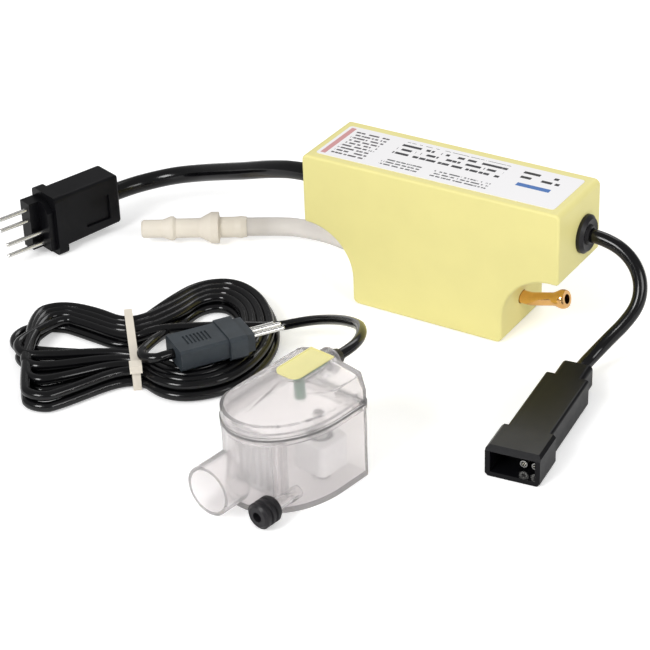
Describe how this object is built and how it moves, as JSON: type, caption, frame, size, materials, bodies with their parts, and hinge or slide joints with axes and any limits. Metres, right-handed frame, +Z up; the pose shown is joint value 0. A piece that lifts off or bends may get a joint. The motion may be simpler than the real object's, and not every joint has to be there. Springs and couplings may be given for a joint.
{
  "type": "split condensate pump",
  "caption": "Small oscillating-piston condensate pump in a stepped block, with a clear float detection unit, leads, connectors and a suction tube.",
  "frame": {"origin": "centre of the pump block's foot, on the surface everything stands on", "axes": "+Z up; +X along the pump block, towards the outlet tube; +Y towards the block's rear cover"},
  "size_m": [0.2882, 0.2, 0.0656],
  "materials": {
    "casing_plastic": "satin",
    "screw_zinc": "satin",
    "label_film": "gloss",
    "black_rubber": "matte",
    "cable_jacket": "satin",
    "wire_insulation": "satin",
    "bobbin_plastic": "satin",
    "winding_tape": "satin",
    "yoke_steel": "satin",
    "cylinder_brass": "satin",
    "spring_steel": "satin",
    "valve_rubber": "matte",
    "head_plastic": "satin",
    "board_laminate": "satin",
    "terminal_plastic": "satin",
    "component_plastic": "satin",
    "relay_plastic": "satin",
    "varistor_coating": "satin",
    "clear_tube": "satin",
    "cream_plastic": "satin",
    "connector_black": "satin",
    "connector_grey": "satin",
    "contact_metal": "satin",
    "clear_housing": "satin",
    "strip_yellow": "satin",
    "float_foam": "matte",
    "magnet_ferrite": "matte",
    "filter_plastic": "satin"
  },
  "bodies": {
    "pump_set": {"pump_casing": "casing_plastic", "rear_cover": "casing_plastic", "cover_screws": "screw_zinc", "top_label": "label_film", "power_grommet": "black_rubber", "sensor_grommet": "black_rubber", "outlet_coupling": "black_rubber", "head_seals": "black_rubber", "rubber_pads": "black_rubber", "power_lead": "cable_jacket", "sensor_lead": "cable_jacket", "detection_lead": "cable_jacket", "plug_lead": "cable_jacket", "cable_hank": "cable_jacket", "power_wires": "wire_insulation", "sensor_wires": "wire_insulation", "coil_bobbin": "bobbin_plastic", "coil_winding": "winding_tape", "yoke": "yoke_steel", "flux_rings": "yoke_steel", "pump_cylinder": "cylinder_brass", "outlet_tube": "cylinder_brass", "return_spring": "spring_steel", "buffer_spring": "spring_steel", "valve_spring": "spring_steel", "inlet_fitting": "head_plastic", "outlet_head": "head_plastic", "outlet_cap": "head_plastic", "control_board": "board_laminate", "terminal_blocks": "terminal_plastic", "suppression_capacitor": "component_plastic", "alarm_relay": "relay_plastic", "coil_triac": "relay_plastic", "surge_varistor": "varistor_coating", "suction_tube": "clear_tube", "tube_connector": "cream_plastic", "cable_tie": "cream_plastic", "power_plug": "connector_black", "sensor_socket": "connector_black", "sensor_plug": "connector_grey", "power_plug_pins": "contact_metal", "socket_contacts": "contact_metal", "sensor_plug_pins": "contact_metal", "chamber_base": "clear_housing", "inlet_filter": "filter_plastic"},
    "lid": {"chamber_lid": "clear_housing", "lid_strip": "strip_yellow", "sensor_board": "board_laminate", "lid_boot": "black_rubber", "lid_lead": "cable_jacket"},
    "float": {"float_block": "float_foam", "float_magnet": "magnet_ferrite"},
    "piston": {"piston": "yoke_steel", "valve_retainer": "yoke_steel"},
    "piston_valve": {"piston_valve": "valve_rubber"},
    "outlet_valve": {"outlet_valve": "valve_rubber"}
  },
  "joints": [
    {"name": "lid_lift", "type": "slide", "parent": "pump_set", "child": "lid", "axis": [0, 0, 1], "range_m": [0, 0.025]},
    {"name": "float_rise", "type": "slide", "parent": "pump_set", "child": "float", "axis": [0, 0, 1], "range_m": [0, 0.008]},
    {"name": "piston_slide", "type": "slide", "parent": "pump_set", "child": "piston", "axis": [1, 0, 0], "range_m": [-0.0025, 0.0025], "stiffness_N_per_m": 600, "deforming": ["return_spring", "buffer_spring"]},
    {"name": "piston_valve_slide", "type": "slide", "parent": "piston", "child": "piston_valve", "axis": [1, 0, 0], "range_m": [0, 0.001]},
    {"name": "outlet_valve_slide", "type": "slide", "parent": "pump_set", "child": "outlet_valve", "axis": [1, 0, 0], "range_m": [0, 0.001], "stiffness_N_per_m": 150, "deforming": ["valve_spring"]}
  ]
}
